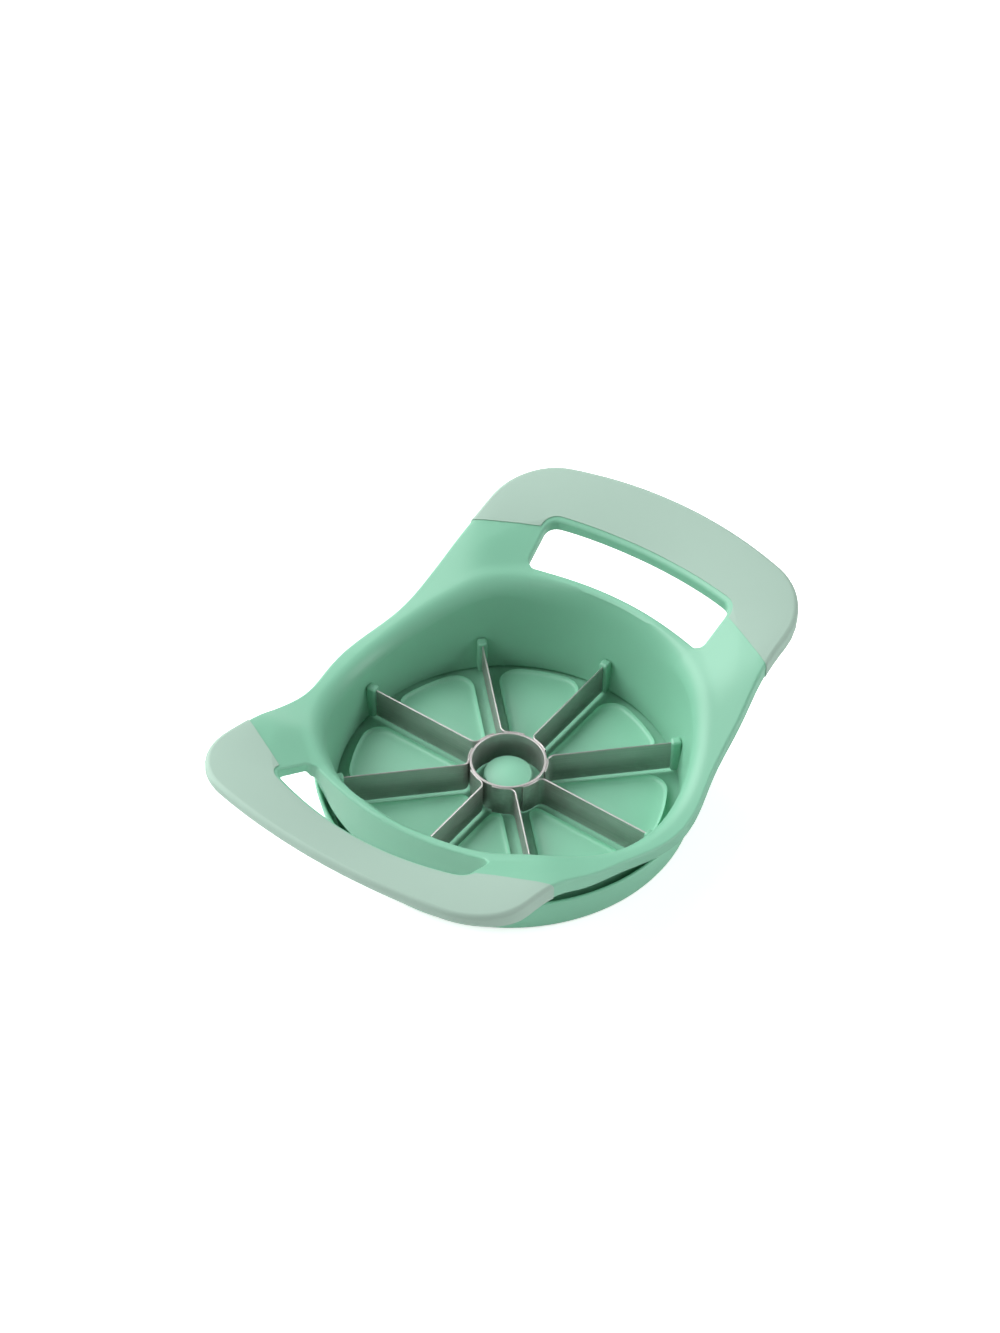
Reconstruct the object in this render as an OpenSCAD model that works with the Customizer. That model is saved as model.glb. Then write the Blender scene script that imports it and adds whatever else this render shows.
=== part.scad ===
// Apple slicer with two handles, a ring of steel blades and a tray that covers the blades.
// Millimetres. X runs from handle to handle, Y across, Z up, and the tray stands on Z = 0.
// The origin is the middle of the tray's underside.

/* [Frame] */
// Width of the plate beside the cup's mouth, at the waist
waist_land = 6.5; // [5:0.1:10]
// Width of a handle's bar, from the slot to the handle's end
bar_w = 18.3; // [15:0.1:22]
// Width across each handle
handle_w = 111.5; // [104:0.5:120]
// Distance from the middle to where a handle's straight sides start
handle_x = 62; // [52:1:68]
// Radius of a handle's corners
corner_r = 21; // [8:1:24]
// Radius of the bow at a handle's end
end_r = 160; // [110:5:220]
// Height of the plate's top at the waist
waist_z = 23.4; // [22:0.2:27]
// Distance from the middle to the steepest place of the plate
knee_x = 47; // [40:1:54]
// Height of the plate's top at its steepest place
knee_z = 38.8; // [34:0.2:44]
// Height of the plate's top at a handle's end
end_z = 53.8; // [48:0.2:60]
// Slope of the plate's top at its steepest place
knee_slope_share = 0.66; // [0.5:0.02:0.9]
// Slope of the plate's top at a handle's end
end_slope_share = 0.5; // [0.2:0.02:0.8]
// Thickness of the plate at the waist
waist_t = 4.4; // [3.6:0.1:6]
// Thickness of the plate in the handles
handle_t = 6; // [5.4:0.1:8]
// Length over which a handle thins out towards its end
taper_l = 23.5; // [14:0.5:26]
// Thickness of the plate at a handle's end
end_t = 4; // [3.4:0.1:6]

/* [Cup] */
// Inner radius of the cup at its foot
cup_foot_r = 53.4; // [52.6:0.1:54]
// How much larger the cup's inner radius is at its mouth than at its foot
cup_flare = 4.6; // [3.6:0.1:5.6]
// Thickness of the cup's thin wall, inside the tray
cup_foot_t = 1.6; // [1.2:0.1:2]
// Thickness of the cup's wall at its highest rim
cup_mouth_t = 2.6; // [2:0.1:3.4]
// Height where the cup's outer face steps in to enter the tray
cup_step_z = 17.2; // [16:0.2:18.4]
// How far the cup's outer face just above that step lies outside the foot's inner radius
cup_step_out = 5.6; // [5:0.1:6.2]
// Height of the rim along a hand slot
rim_z = 36.6; // [35:0.2:38]
// Height of the rim's wide ends, where the cup's wall thickens towards the handle
rim_h = 4.4; // [3:0.1:8]
// Plan radius at which the plate starts to rise from the rim like a funnel
funnel_r = 62.5; // [61.5:0.1:64]
// Rise of the funnel for each length outwards
funnel_slope = 0.6; // [0.5:0.01:0.7]
// Thickness of the funnel
funnel_t = 4; // [3:0.1:5]

/* [Hand slots] */
// Width of the rim between the cup's mouth and a slot
rim_w = 2.3; // [2:0.1:4]
// Width of a slot, from its near edge to its far edge
slot_w = 14.9; // [13:0.1:18]
// Radius of a slot's far edge
slot_far_r = 115; // [90:1:160]
// Half length of a slot at its far edge
slot_far_y = 34.7; // [30:0.1:38]
// Radius of a slot's near edge
slot_near_r = 96; // [80:1:140]
// Half length of a slot at its near edge
slot_near_y = 33; // [28:0.1:34]
// Radius of a slot's far corners
slot_far_corner_r = 4; // [2:0.5:6]
// Radius of a slot's near corners
slot_near_corner_r = 3; // [1:0.2:4]

/* [Grips] */
// Thickness of the soft grip over the handle's core
grip_t = 1.2; // [0.8:0.1:1.4]
// How far the grip's edge at the handle's side lies inwards of the slot's near edge
grip_side_in = 3.8; // [0:0.1:6]
// How far the grip's edge beside the slot lies outwards of the slot's near edge
grip_slot_out = 5.3; // [4:0.1:8]
// Half width of the frame's bare part beside the slot
grip_slot_y = 37.6; // [37.4:0.1:40]
// Width of the hard lip that the frame keeps along a slot's far edge
lip_w = 1.4; // [1:0.1:2]

/* [Blades] */
// Height of a blade
blade_h = 11.4; // [10:0.1:12]
// Thickness of a blade
blade_t = 0.6; // [0.5:0.05:0.8]
// Height of the ground bevel along a blade's lower edge
edge_h = 1.2; // [0.6:0.1:2]
// Outer radius of the core ring
core_r = 12; // [10:0.1:14]
// Thickness of the core ring
core_t = 0.8; // [0.6:0.05:1]
// Angle that a blade's welded foot covers along the core ring
foot_angle = 33; // [26:1:36]
// Inner radius of the bend between a blade and its foot
bend_r = 0.8; // [0.6:0.1:1.2]
// How far the plastic posts that hold the blades stand into the cup
post_l = 2.1; // [1.4:0.1:4]
// Width of a post
post_w = 3.4; // [2.8:0.1:4.2]
// How far a post stands above its blade
post_over = 1; // [0.6:0.1:1.4]
// How deep a blade goes into its post
blade_grip = 2; // [1.2:0.1:2]

/* [Tray] */
// How much larger the tray's outer radius is at its rim than at its floor
tray_flare = 1.9; // [1:0.1:3]
// Height of the tray
tray_h = 14.4; // [13:0.1:15]
// Thickness of the tray's wall
tray_t = 1.8; // [1.4:0.1:2]
// Thickness of the tray's floor
floor_t = 2; // [1.6:0.1:2.4]
// Radius of the tray's lower edge
tray_edge_r = 2.4; // [1:0.1:3]
// Radius of the rounded rim
tray_rim_r = 0.6; // [0.3:0.1:0.7]
// Gap between the pads and the cup's foot
pad_gap = 3.8; // [1:0.1:6]
// Height of a pad above the floor
pad_h = 2.8; // [2:0.1:3.4]
// Width of the groove under each blade
groove_w = 8.4; // [6:0.2:10]
// Radius of a pad's outer corners
pad_corner_r = 6; // [2:0.5:7]
// Radius of a pad's tip
pad_tip_r = 4; // [2:0.5:5]
// Radius of the plug that pushes out the core
plug_r = 7.6; // [6:0.1:10]
// Height of the plug's wall above the floor
plug_h = 6; // [2:0.1:8]
// Rise of the plug's crown
plug_crown = 1; // [0.4:0.1:2]

/* [Fits] */
// Gap between the cup's foot and the tray's wall
tray_gap = 1.3; // [0.4:0.1:2]
// Gap between the cup's foot and the tray's floor
seat_gap = 0.3; // [0.2:0.05:0.5]
// Gap on each side of a blade in its post
blade_gap = 0.05; // [0.02:0.01:0.1]
// Gap between a blade's foot and the core ring
weld_gap = 0.05; // [0.04:0.01:0.1]

/* [Hidden] */
$fn = 96;

blades = 8;

mint = [0.47, 0.74, 0.63];
soft_mint = [0.66, 0.80, 0.74];
steel = [0.72, 0.73, 0.72];

cup_mouth_r = cup_foot_r + cup_flare;
cup_step_r = cup_foot_r + cup_step_out;
slot_near_x = cup_mouth_r + rim_w;
slot_far_x = slot_near_x + slot_w;
half_l = slot_far_x + bar_w;
half_w = cup_mouth_r + waist_land;
handle_half_w = handle_w / 2;
taper_x = half_l - taper_l;
grip_side_x = slot_near_x - grip_side_in;
grip_slot_x = slot_near_x + grip_slot_out;
tray_foot_r = cup_foot_r + cup_foot_t + tray_gap + tray_t;
tray_r = tray_foot_r + tray_flare;
pad_r = cup_foot_r - pad_gap;
post_r = cup_foot_r - post_l;
// Length by which a cut runs past what it cuts
over = 2;
// Height that clears the whole frame
sky = end_z + handle_t + over;
steps_along = 14;
steps_side = 9;
steps_corner = 6;
steps_end = 6;
steps_slot = 10;
steps_pad = 4;
// Share of a pad's height that is its crown
crown_share = 0.25;

cup_foot_z = floor_t + seat_gap;
blade_z = cup_foot_z;
bend_x = core_r + weld_gap + blade_t + bend_r;
cup_mouth_z = top_z(cup_mouth_r + cup_mouth_t);
pitch = 360 / blades;

// Height of a curve from height a to height b, whose end slopes rise by ma and mb over its span
function curve(a, b, ma, mb, t) =
    (2 * t^3 - 3 * t^2 + 1) * a + (t^3 - 2 * t^2 + t) * ma + (3 * t^2 - 2 * t^3) * b + (t^3 - t^2) * mb;
function ease(t) = t * t * (3 - 2 * t);
function unit(v) = v / norm(v);

// The plate's top: level at the waist, steepest at the knee, flatter in the handles
function top_z(x) = let (ax = abs(x), rest = half_l - knee_x)
    ax < knee_x
    ? curve(waist_z, knee_z, 0, knee_slope_share * knee_x, ax / knee_x)
    : ax < half_l
    ? curve(knee_z, end_z, knee_slope_share * rest, end_slope_share * rest, (ax - knee_x) / rest)
    : end_z + (ax - half_l) * end_slope_share;
function depth_at(x) = waist_t
    + (handle_t - waist_t) * ease(min(abs(x) / knee_x, 1)^3)
    - (handle_t - end_t) * ease(min(max(abs(x) - taper_x, 0) / (half_l - taper_x), 1));
function bottom_z(x) = top_z(x) - depth_at(x);

stations = [for (i = [-steps_along : steps_along]) (half_l + over) * i / steps_along];
function flip(list) = [for (i = [len(list) - 1 : -1 : 0]) list[i]];

// Side view of the plate, thinner by inset above and below
function side_view(inset) = concat(
    [for (x = stations) [x, top_z(x) - inset]],
    [for (x = flip(stations)) [x, bottom_z(x) + inset]]);

// Side view of all that lies under the plate's top, lower by inset
function below_top(inset) = concat(
    [for (x = stations) [x, top_z(x) - inset]],
    [[half_l + over, -over], [-half_l - over, -over]]);

// Radial section of the funnel's surface, lower by drop
function funnel_line(drop) = let (far_r = half_l + 2 * over) [
    [cup_foot_r, rim_z - drop],
    [funnel_r, rim_z - drop],
    [far_r, rim_z + funnel_slope * (far_r - funnel_r) - drop]];

// Quarter of the plan outline, from the waist to the handle's end, smaller by inset
function quarter(inset) = let (
        cx = half_l - end_r,
        yc = handle_half_w - corner_r,
        xc = cx + sqrt((end_r - corner_r)^2 - yc^2),
        turn = atan2(yc, xc - cx))
    concat(
        [for (i = [0 : steps_side]) let (t = i / steps_side)
            [handle_x * t, curve(half_w, handle_half_w, 0, 0, t) - inset]],
        [for (i = [0 : steps_corner]) let (a = 90 - (90 - turn) * i / steps_corner)
            [xc + (corner_r - inset) * cos(a), yc + (corner_r - inset) * sin(a)]],
        [for (i = [1 : steps_end]) let (a = turn * (1 - i / steps_end))
            [cx + (end_r - inset) * cos(a), (end_r - inset) * sin(a)]]);
function plan(inset) = let (q = quarter(inset), n = len(q)) concat(
    q,
    [for (i = [n - 2 : -1 : 0]) [q[i][0], -q[i][1]]],
    [for (i = [1 : n - 1]) [-q[i][0], -q[i][1]]],
    [for (i = [n - 2 : -1 : 1]) [-q[i][0], q[i][1]]]);

// Points that round the corner at q, between its neighbours p and s
function rounded(p, q, s, r) = let (
        u = unit(p - q),
        v = unit(s - q),
        half = acos(u * v) / 2,
        c = q + unit(u + v) * r / sin(half),
        from = q + u * r / tan(half) - c,
        to = q + v * r / tan(half) - c,
        a = atan2(from[1], from[0]),
        b = atan2(to[1], to[0]),
        turn = b - a > 180 ? b - a - 360 : b - a < -180 ? b - a + 360 : b - a)
    [for (i = [0 : steps_corner]) c + r * [cos(a + turn * i / steps_corner), sin(a + turn * i / steps_corner)]];

// Arc of radius r through [x, 0], bulging towards +X, between the heights -y and y
function bow(x, r, y) = let (half = asin(y / r))
    [for (i = [0 : steps_slot]) let (a = half * (2 * i / steps_slot - 1)) [x - r + r * cos(a), r * sin(a)]];

// Plan outline of the hand slot at +X, wider by grow at its ends and its far edge
function slot_plan(grow, near_x) = let (
        far = bow(slot_far_x + grow, slot_far_r + grow, slot_far_y + grow),
        near = flip(bow(near_x, slot_near_r, slot_near_y + grow)),
        n = steps_slot)
    concat(
        rounded(near[n], far[0], far[1], slot_far_corner_r + grow),
        [for (i = [1 : n - 1]) far[i]],
        rounded(far[n - 1], far[n], near[0], slot_far_corner_r + grow),
        rounded(far[n], near[0], near[1], slot_near_corner_r),
        [for (i = [1 : n - 1]) near[i]],
        rounded(near[n - 1], near[n], far[0], slot_near_corner_r));

// The cup's inner radius and outer radius at height z
function cup_in(z) = cup_foot_r + (cup_mouth_r - cup_foot_r) * (z - cup_foot_z) / (cup_mouth_z - cup_foot_z);
function cup_out(z) = cup_step_r
    + (cup_mouth_r + cup_mouth_t - cup_step_r) * (z - cup_step_z) / (cup_mouth_z - cup_step_z);

// Prism across the frame of a side view
module across(view) {
    rotate([90, 0, 0])
        linear_extrude(2 * (half_w + over), center = true)
            polygon(view);
}

// All that lies above the funnel's surface, lower by drop
module above_funnel(drop) {
    line = funnel_line(drop);
    rotate_extrude()
        polygon(concat([[0, line[0][1]]], line, [[line[2][0], sky], [0, sky]]));
}

// The saddle plate, thicker where the funnel sinks into it
module saddle(inset) {
    intersection() {
        union() {
            across(side_view(inset));
            intersection() {
                across(below_top(inset + end_t / 2));
                above_funnel(funnel_t - inset);
            }
        }
        linear_extrude(sky)
            polygon(plan(inset));
    }
}

// The plate with the funnel round the cup, before any opening is cut
module plate(inset) {
    difference() {
        saddle(inset);
        above_funnel(inset);
    }
}

// Upright prism of the hand slot at +X
module slot_cut(grow, near_x) {
    linear_extrude(sky)
        polygon(slot_plan(grow, near_x));
}

// The soft grip's space over the handle at +X, clear of the hard lip round the slot
module grip_space() {
    difference() {
        linear_extrude(sky)
            polygon([
                [grip_side_x, half_w],
                [grip_side_x, handle_half_w],
                [grip_slot_x, grip_slot_y],
                [grip_slot_x, -grip_slot_y],
                [grip_side_x, -handle_half_w],
                [grip_side_x, -half_w],
                [half_l + over, -half_w],
                [half_l + over, half_w]]);
        slot_cut(lip_w, slot_near_x);
    }
}

// Soft grip moulded over the handle at +X
module soft_grip() {
    color(soft_mint)
        difference() {
            intersection() {
                plate(0);
                grip_space();
            }
            plate(grip_t);
        }
}

// Cup wall: thin where it enters the tray, thicker above the step
module cup_wall() {
    intersection() {
        rotate_extrude()
            polygon([
                [cup_foot_r, cup_foot_z],
                [cup_foot_r + cup_foot_t, cup_foot_z],
                [cup_in(cup_step_z) + cup_foot_t, cup_step_z],
                [cup_step_r, cup_step_z],
                [cup_out(sky), sky],
                [cup_in(sky), sky]]);
        across(below_top(0));
    }
}

// Post on the cup's wall that holds the outer end of the blade along +X
module post() {
    difference() {
        translate([post_r, -post_w / 2, cup_foot_z])
            cube([cup_foot_r + cup_foot_t / 2 - post_r, post_w, blade_h + post_over]);
        translate([post_r - over, -blade_t / 2 - blade_gap, cup_foot_z - over])
            cube([blade_grip + blade_gap + over, blade_t + 2 * blade_gap, blade_h + blade_gap + over]);
    }
}

// Strip that widens the cup's rim along the hand slot at +X, before the slot is cut
module rim_strip() {
    near = bow(slot_near_x + over, slot_near_r, slot_near_y);
    difference() {
        translate([0, 0, rim_z - rim_h])
            linear_extrude(rim_h + over)
                polygon(concat([[cup_foot_r / 2, slot_near_y], [cup_foot_r / 2, -slot_near_y]], near));
        cylinder(h = sky, r = cup_in(rim_z) + cup_mouth_t / 2);
    }
}

module frame() {
    color(mint) {
        difference() {
            union() {
                difference() {
                    saddle(0);
                    cylinder(h = sky, r = cup_in(waist_z) + cup_mouth_t / 2);
                }
                cup_wall();
                rim_strip();
                rotate(180)
                    rim_strip();
            }
            slot_cut(0, slot_near_x);
            rotate(180)
                slot_cut(0, slot_near_x);
            above_funnel(0);
            for (side = [0, 180])
                rotate(side)
                    difference() {
                        grip_space();
                        plate(grip_t);
                    }
        }
        for (i = [0 : blades - 1])
            rotate(i * pitch)
                post();
    }
}

// Plan outline of a blade along +X whose foot turns clockwise round the core ring
function blade_plan() = let (
        inner = core_r + weld_gap,
        outer = inner + blade_t,
        tip = post_r + blade_grip,
        drop = asin((bend_r + blade_t / 2) / outer),
        steps_foot = 8)
    concat(
        [[tip, blade_t / 2], [bend_x, blade_t / 2]],
        [for (i = [1 : steps_corner]) let (a = 90 + 90 * i / steps_corner)
            [bend_x + (bend_r + blade_t) * cos(a), -blade_t / 2 - bend_r + (bend_r + blade_t) * sin(a)]],
        [for (i = [1 : steps_foot]) let (a = -drop - (foot_angle - drop) * i / steps_foot)
            [inner * cos(a), inner * sin(a)]],
        [for (i = [0 : steps_foot - 1]) let (a = -foot_angle + (foot_angle - drop) * i / steps_foot)
            [outer * cos(a), outer * sin(a)]],
        [for (i = [0 : steps_corner]) let (a = 180 - 90 * i / steps_corner)
            [bend_x + bend_r * cos(a), -blade_t / 2 - bend_r + bend_r * sin(a)]],
        [[tip, -blade_t / 2]]);

// Blade number n, ground sharp along its lower edge
module blade(n) {
    grind = edge_h / (blade_t / 2);
    color(steel)
        rotate((n - 1) * pitch)
            difference() {
                translate([0, 0, blade_z])
                    linear_extrude(blade_h)
                        polygon(blade_plan());
                for (s = [-1, 1])
                    translate([bend_x, 0, blade_z])
                        rotate([90, 0, 90])
                            linear_extrude(post_r + over)
                                polygon([[0, 0], [s * over, grind * over], [s * over, -over], [0, -over]]);
            }
}

module core_ring() {
    color(steel)
        translate([0, 0, blade_z])
            difference() {
                cylinder(h = blade_h, r = core_r);
                translate([0, 0, -over])
                    cylinder(h = blade_h + 2 * over, r = core_r - core_t);
            }
}

// Plan outline of the pad between the blade along +X and the next one
function pad_plan() = let (
        g = groove_w / 2,
        tip = g / sin(pitch / 2) * [cos(pitch / 2), sin(pitch / 2)],
        low = asin(g / pad_r),
        n = steps_pad,
        arc = [for (i = [0 : n]) let (a = low + (pitch - 2 * low) * i / n) pad_r * [cos(a), sin(a)]])
    concat(
        rounded(arc[0], tip, arc[n], pad_tip_r),
        flip(concat(
            rounded(tip, arc[0], arc[1], pad_corner_r),
            [for (i = [1 : n - 1]) arc[i]],
            rounded(arc[n - 1], arc[n], tip, pad_corner_r))));

module tray() {
    wall_in = tray_r - tray_t;
    foot_in = tray_foot_r - tray_t;
    color(mint) {
        rotate_extrude()
            polygon(concat(
                [[0, 0]],
                [for (i = [0 : steps_corner]) let (a = -90 + 90 * i / steps_corner)
                    [tray_foot_r - tray_edge_r + tray_edge_r * cos(a), tray_edge_r + tray_edge_r * sin(a)]],
                [for (i = [0 : steps_corner]) let (a = 90 * i / steps_corner)
                    [tray_r - tray_rim_r + tray_rim_r * cos(a), tray_h - tray_rim_r + tray_rim_r * sin(a)]],
                [for (i = [0 : steps_corner]) let (a = 90 + 90 * i / steps_corner)
                    [wall_in + tray_rim_r + tray_rim_r * cos(a), tray_h - tray_rim_r + tray_rim_r * sin(a)]],
                [[foot_in, floor_t], [0, floor_t]]));
        intersection() {
            for (i = [0 : blades - 1])
                rotate(i * pitch)
                    linear_extrude(floor_t + pad_h + over)
                        polygon(pad_plan());
            crowned(pad_r + over, floor_t + pad_h * (1 - crown_share), pad_h * crown_share);
        }
        crowned(plug_r, floor_t + plug_h, plug_crown);
    }
}

// Height of a crown of radius r and rise h, at distance x from the middle
function crown_z(x, r, h) = let (ball_r = (r^2 + h^2) / (2 * h)) sqrt(ball_r^2 - x^2) - ball_r + h;

// Body of revolution out of the floor, whose top is a crown of radius r that starts at height z
module crowned(r, z, h) {
    rotate_extrude()
        polygon(concat(
            [[0, floor_t / 2], [r, floor_t / 2]],
            [for (i = [steps_slot : -1 : 0]) let (x = r * i / steps_slot) [x, z + crown_z(x, r, h)]]));
}

frame();
rotate(180) soft_grip();  // grip_front
soft_grip();  // grip_back
core_ring();
blade(1);  // blade_1
blade(2);  // blade_2
blade(3);  // blade_3
blade(4);  // blade_4
blade(5);  // blade_5
blade(6);  // blade_6
blade(7);  // blade_7
blade(8);  // blade_8
tray();
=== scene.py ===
# %% [markdown]
# # An apple slicer with two handles
# This lesson dresses a kitchen tool: a mint green frame with a soft grip over each handle, eight
# steel blades round a core ring, and a round tray below. Each piece is modelled over its own solid of
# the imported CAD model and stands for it. The sizes are the CAD's, but a few differ by up to 3 mm.

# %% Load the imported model
import math
import bpy
from mathutils import Matrix, Vector


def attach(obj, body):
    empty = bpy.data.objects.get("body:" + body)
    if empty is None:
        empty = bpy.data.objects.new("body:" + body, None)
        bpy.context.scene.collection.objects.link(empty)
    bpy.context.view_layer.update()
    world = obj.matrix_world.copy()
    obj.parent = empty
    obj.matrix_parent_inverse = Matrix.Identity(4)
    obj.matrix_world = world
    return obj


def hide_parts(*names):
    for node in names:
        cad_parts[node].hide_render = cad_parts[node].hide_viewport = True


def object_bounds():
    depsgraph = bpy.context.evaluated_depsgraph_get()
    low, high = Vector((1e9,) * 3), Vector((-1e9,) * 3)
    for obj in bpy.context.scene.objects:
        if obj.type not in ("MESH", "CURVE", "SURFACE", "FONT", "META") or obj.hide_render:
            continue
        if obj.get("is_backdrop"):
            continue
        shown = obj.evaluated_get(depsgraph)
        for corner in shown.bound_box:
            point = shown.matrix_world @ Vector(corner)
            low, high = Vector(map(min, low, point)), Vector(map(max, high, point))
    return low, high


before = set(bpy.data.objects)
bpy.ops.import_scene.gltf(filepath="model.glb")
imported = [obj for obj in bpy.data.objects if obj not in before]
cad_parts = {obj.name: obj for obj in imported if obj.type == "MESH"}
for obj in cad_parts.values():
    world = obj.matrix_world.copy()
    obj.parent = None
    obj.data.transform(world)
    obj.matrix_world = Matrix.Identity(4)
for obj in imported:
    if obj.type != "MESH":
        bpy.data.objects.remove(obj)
cad_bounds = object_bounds()
MM = 0.001
print("nodes:", sorted(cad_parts))
print("CAD box:", [[round(v, 4) for v in corner] for corner in cad_bounds])

# %% [markdown]
# ## Helpers for modelling as by hand
# An operator works on whatever is selected, so every piece starts with nothing selected. The places
# of corners are worked out in millimetres, because that is how the tool is measured, and turned into
# metres when they are put on the mesh.

# %% Selection helpers
WELD = 0.01 * MM


def object_mode():
    if bpy.context.object and bpy.context.object.mode != "OBJECT":
        bpy.ops.object.mode_set(mode="OBJECT")


def edit_mode(select="VERT"):
    bpy.ops.object.mode_set(mode="EDIT")
    bpy.ops.mesh.select_mode(type=select)


def clear_selection():
    object_mode()
    bpy.ops.object.select_all(action="DESELECT")


def only(piece):
    clear_selection()
    piece.select_set(True)
    bpy.context.view_layer.objects.active = piece
    return piece


def name_piece(name):
    piece = bpy.context.object
    piece.name = name
    piece.data.name = name
    return piece


def pick(piece, kind, test):
    """Selects the faces or edges of the piece that pass the test, and nothing else."""
    object_mode()
    mesh = piece.data
    for group in (mesh.vertices, mesh.edges, mesh.polygons):
        group.foreach_set("select", [False] * len(group))
    chosen = [item for item in getattr(mesh, kind) if test(item)]
    for item in chosen:
        item.select = True
    edit_mode({"edges": "EDGE", "polygons": "FACE"}[kind])
    return len(chosen)


# %% Modifier and shading helpers
def apply_modifier(piece, kind, **settings):
    only(piece)
    bpy.ops.object.modifier_add(type=kind)
    modifier = piece.modifiers[-1]
    for key, value in settings.items():
        setattr(modifier, key, value)
    bpy.ops.object.modifier_apply(modifier=modifier.name)


def smooth(piece, degrees=35):
    only(piece)
    bpy.ops.object.shade_smooth_by_angle(angle=math.radians(degrees))


def even_shading(piece):
    """Lets the large faces lead the shading, so that slivers beside a seam don't show as dents."""
    apply_modifier(piece, "WEIGHTED_NORMAL", mode="FACE_AREA", weight=50, keep_sharp=True)


def face_outwards(piece):
    """Merges corners that fall together and turns all faces outwards."""
    only(piece)
    edit_mode()
    bpy.ops.mesh.select_all(action="SELECT")
    bpy.ops.mesh.remove_doubles(threshold=WELD)
    bpy.ops.mesh.normals_make_consistent(inside=False)
    object_mode()


def settle(piece):
    """Puts the piece's place into its mesh, so that its object sits at the origin."""
    only(piece)
    bpy.ops.object.transform_apply(location=True, rotation=True, scale=True)


def turned_copy(piece, name, degrees):
    only(piece)
    bpy.ops.object.duplicate()
    copy = name_piece(name)
    copy.rotation_euler[2] = math.radians(degrees)
    settle(copy)
    return copy


COUNT = 8
PITCH = 360 / COUNT


def eight_round(piece, name):
    """The piece and seven copies of it, each turned on by an eighth."""
    return [piece] + [turned_copy(piece, "%s_%d" % (name, i + 1), PITCH * i) for i in range(1, COUNT)]


def join(main, others):
    """Makes the other pieces part of the main piece's mesh."""
    only(main)
    for piece in others:
        piece.select_set(True)
    bpy.ops.object.join()


# %% Curves that the shapes follow
def mix(a, b, t):
    return a + (b - a) * t


def mix_places(p, q, t):
    return mix(p[0], q[0], t), mix(p[1], q[1], t)


def polar(r, a):
    return r * math.cos(a), r * math.sin(a)


def ease(t):
    t = min(max(t, 0.0), 1.0)
    return t * t * (3 - 2 * t)


def climb(v, start, end):
    """Goes smoothly from 0 to 1 while v goes from start to end."""
    return ease((v - start) / (end - start))


def hermite(a, b, slope_a, slope_b, t):
    return ((2 * t**3 - 3 * t**2 + 1) * a + (t**3 - 2 * t**2 + t) * slope_a
            + (3 * t**2 - 2 * t**3) * b + (t**3 - t**2) * slope_b)


def corner_legs(p, q, s):
    """Directions from the corner q to p and to s."""
    return (Vector(p) - Vector(q)).normalized(), (Vector(s) - Vector(q)).normalized()


def corner_centre(p, q, s, r):
    """Centre of the round of radius r that eases the corner q between p and s."""
    u, v = corner_legs(p, q, s)
    return Vector(q) + (u + v).normalized() * r / math.sin(u.angle(v) / 2)


def round_corner(p, q, s, r, steps=7):
    """Points that round the corner q between p and s."""
    centre = corner_centre(p, q, s, r)
    u, v = corner_legs(p, q, s)
    reach = r / math.tan(u.angle(v) / 2)
    a, b = Vector(q) + u * reach - centre, Vector(q) + v * reach - centre
    turn = a.angle_signed(b)
    return [centre + Matrix.Rotation(-turn * i / steps, 2) @ a for i in range(steps + 1)]


def beyond_arc(centre, points, t, gap):
    """A point a gap outside an arc, at place t along its points."""
    i = min(int(t), len(points) - 2)
    p = points[i].lerp(points[i + 1], t - i)
    return centre + (p - centre).normalized() * ((points[0] - centre).length + gap)


CORNER_PULL = 0.7


def round_over(a, corner, b, t):
    """A point of the smooth round from a to b that starts and ends towards the corner."""
    weights = ((1 - t) ** 2, 2 * CORNER_PULL * t * (1 - t), t**2)
    pulled = (Vector(p) * w for p, w in zip((a, corner, b), weights))
    return sum(pulled, Vector((0, 0, 0))) / sum(weights)


# %% [markdown]
# ## The saddle of the frame
# Seen from the side, the frame's plate is low at its waist and climbs to both handles. Its top is two
# smooth curves that meet at the knee, and its thickness grows from the waist to the handles and
# shrinks again at their ends. The curves are the CAD's, with the handles' ends a little thinner.

# %% Heights of the plate
HALF_L, HALF_W, HANDLE_HALF_W = 93.5, 64.5, 55.75
KNEE_X, TAPER_X = 47.0, 70.0
WAIST_Z, KNEE_Z, END_Z = 23.4, 38.8, 53.8
KNEE_SLOPE, END_SLOPE = 0.66, 0.5
WAIST_T, HANDLE_T, END_T = 4.4, 6.0, 2.8


def top_z(x):
    x = abs(x)
    rest = HALF_L - KNEE_X
    if x < KNEE_X:
        return hermite(WAIST_Z, KNEE_Z, 0, KNEE_SLOPE * KNEE_X, x / KNEE_X)
    return hermite(KNEE_Z, END_Z, KNEE_SLOPE * rest, END_SLOPE * rest, (x - KNEE_X) / rest)


def plate_t(x):
    x = abs(x)
    return (WAIST_T + (HANDLE_T - WAIST_T) * ease(min(x / KNEE_X, 1) ** 3)
            - (HANDLE_T - END_T) * climb(x, TAPER_X, HALF_L))


def bottom_z(x):
    return top_z(x) - plate_t(x)


print("plate top at waist, knee and end:", [round(top_z(x), 1) for x in (0, KNEE_X, HALF_L)])

# %% [markdown]
# ## Rings and columns
# The frame is one moulding with a round cup and two hand slots. It is drawn as rings of corners that
# run round the cup: rim, slot's near edge, slot's far edge, outline, and back underneath. Every ring
# has the same number of corners. Column 0 points at the back handle and column 48 at the side. Only
# this quarter is worked out, because the rest mirrors it.

# %% Columns and the cup's wall
QUARTER, SLOT_COLUMN = 48, 24
MARGIN = SLOT_COLUMN + 1
COLUMNS = 4 * QUARTER
CUP_FOOT_R, CUP_FLARE, CUP_FOOT_Z = 53.4, 4.6, 2.3
RIM_Z, MOUTH_OUT_R = 36.6, 60.6


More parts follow.
